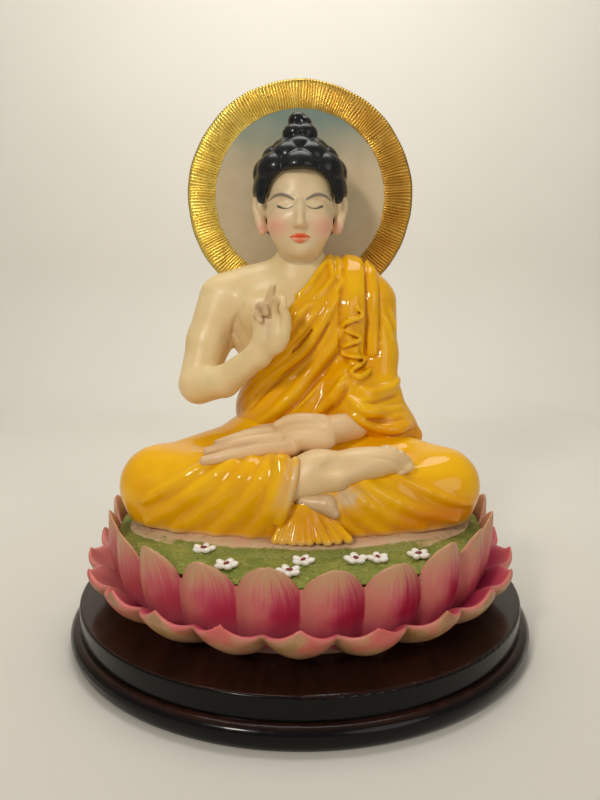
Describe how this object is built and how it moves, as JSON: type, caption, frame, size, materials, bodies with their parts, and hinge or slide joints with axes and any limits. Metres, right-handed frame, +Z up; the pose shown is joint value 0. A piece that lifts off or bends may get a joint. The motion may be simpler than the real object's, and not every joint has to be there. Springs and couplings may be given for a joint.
{
  "type": "seated buddha statuette",
  "caption": "Painted seated buddha figure on a lotus with a ring-rimmed round halo, set on a round wooden display stand.",
  "frame": {"origin": "middle of the stand's underside, on the face of the felt pad", "axes": "+Z up, the figure looks along -Y, +X towards its left shoulder"},
  "size_m": [0.12, 0.12, 0.1468],
  "materials": {
    "stand_wood": "satin lacquer over dark rosewood",
    "felt": "matte felt",
    "steel": "zinc-plated screw and wire",
    "dowel_wood": "plain beech",
    "petal_pink": "peach tips shading to deep pink, satin",
    "lotus_core": "satin",
    "grass": "speckled matte green",
    "flower_white": "satin",
    "flower_red": "satin",
    "bare_resin": "unpainted cast resin",
    "robe_amber": "glossy amber yellow",
    "skin_ivory": "satin ivory",
    "hair_black": "glossy black",
    "gold_leaf": "gold foil with fine radial ridges",
    "halo_cream": "matte cream shading to blue-grey at the top",
    "halo_brown": "satin dark brown"
  },
  "bodies": {
    "stand": {"felt_pad": "felt", "stand_screws": "steel", "stand_lower_plate": "stand_wood", "stand_upper_plate": "stand_wood", "locating_dowels": "dowel_wood"},
    "figure": {"lotus_body": "lotus_core", "upper_petals": "petal_pink", "lower_petals": "petal_pink", "grass_mound": "grass", "meadow_flowers": "flower_white", "flower_eyes": "flower_red", "seat_cloth": "bare_resin", "torso": "skin_ivory", "leg_robe": "robe_amber", "upper_robe": "robe_amber", "left_sleeve": "robe_amber", "shoulder_sash": "robe_amber", "front_fan": "robe_amber", "right_arm": "skin_ivory", "right_hand": "skin_ivory", "left_hand": "skin_ivory", "right_foot": "skin_ivory", "left_foot": "skin_ivory", "head": "skin_ivory", "ears": "skin_ivory", "hair_cap": "hair_black", "hair_bun": "hair_black", "arm_pin": "steel", "neck_pin": "steel", "halo_socket": "robe_amber"},
    "halo": {"halo_rim": "gold_leaf", "halo_disc": "halo_cream", "halo_stem": "halo_brown"}
  },
  "joints": [
    {"name": "figure_lift", "type": "slide", "parent": "stand", "child": "figure", "axis": [0, 0, 1], "range_m": [0, 0.02]},
    {"name": "halo_lift", "type": "slide", "parent": "figure", "child": "halo", "axis": [0, 0, 1], "range_m": [0, 0.018]}
  ]
}
